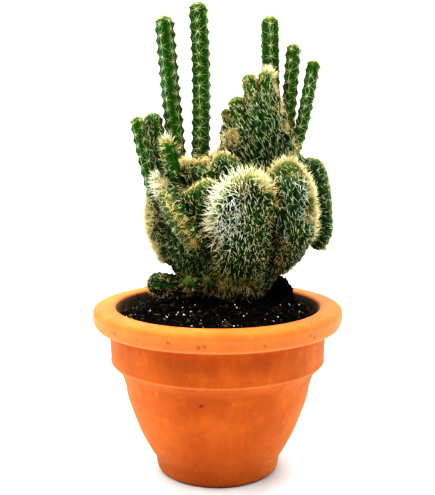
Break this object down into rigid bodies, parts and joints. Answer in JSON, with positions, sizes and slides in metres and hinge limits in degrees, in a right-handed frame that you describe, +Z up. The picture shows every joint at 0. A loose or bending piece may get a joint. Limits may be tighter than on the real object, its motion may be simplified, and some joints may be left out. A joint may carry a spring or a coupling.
{
  "type": "potted crested columnar cactus",
  "caption": "Crested columnar cactus with ribbed shoots and dense spines, growing in soil in a round terracotta pot with a rolled rim.",
  "frame": {"origin": "on the pot's axis, on the surface that the pot stands on", "axes": "+Z up along the pot's axis; the plant's broad front faces -Y"},
  "size_m": [0.15, 0.15, 0.28],
  "materials": {
    "pot": "matte",
    "soil": "matte",
    "cactus": "matte"
  },
  "bodies": {
    "root": {"pot": "pot", "soil": "soil", "cactus": "cactus"}
  },
  "joints": []
}
